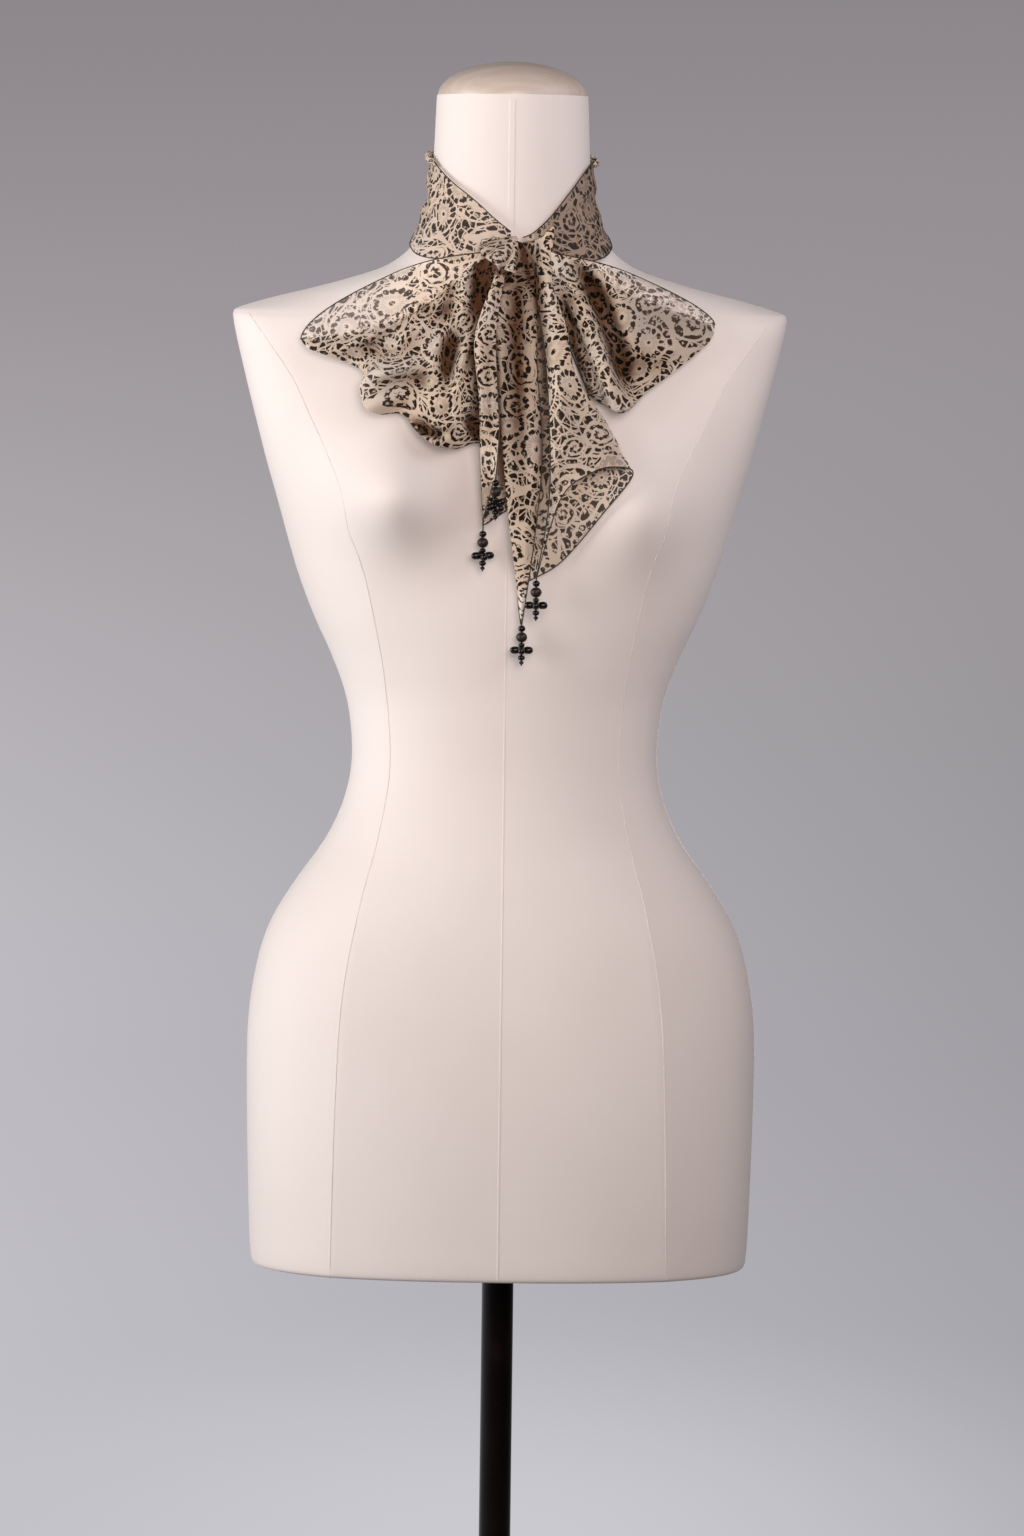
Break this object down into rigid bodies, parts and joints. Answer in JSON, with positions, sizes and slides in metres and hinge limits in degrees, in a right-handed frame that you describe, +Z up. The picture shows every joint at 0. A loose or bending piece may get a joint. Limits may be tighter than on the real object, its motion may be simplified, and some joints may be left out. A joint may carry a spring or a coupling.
{
  "type": "cravat on a limbless dress form",
  "caption": "Sheer printed cravat with beaded corners, tied in a soft bow round the neck of a limbless dress form on a pole and a round base.",
  "frame": {"origin": "centre of the underside of the stand's round base", "axes": "+Z up along the pole, -Y the way the form faces, +X to the right as seen from the front"},
  "size_m": [0.3816, 0.35, 1.5413],
  "materials": {
    "chiffon": "sheer printed silk chiffon, cream with a dark lace-like print",
    "beads": "glossy jet-black beads",
    "jersey": "smooth ivory jersey",
    "cap": "cream lacquered wood",
    "stand": "glossy black"
  },
  "bodies": {
    "root": {"stand_base": "stand", "stand_pole": "stand", "form_torso": "jersey", "form_cap": "cap", "neck_band": "chiffon", "knot": "chiffon", "loop_left": "chiffon", "loop_right": "chiffon", "tail_front": "chiffon", "tail_back": "chiffon", "drop_front_inner": "beads", "drop_front_outer": "beads", "drop_back_inner": "beads", "drop_back_outer": "beads"}
  },
  "joints": []
}
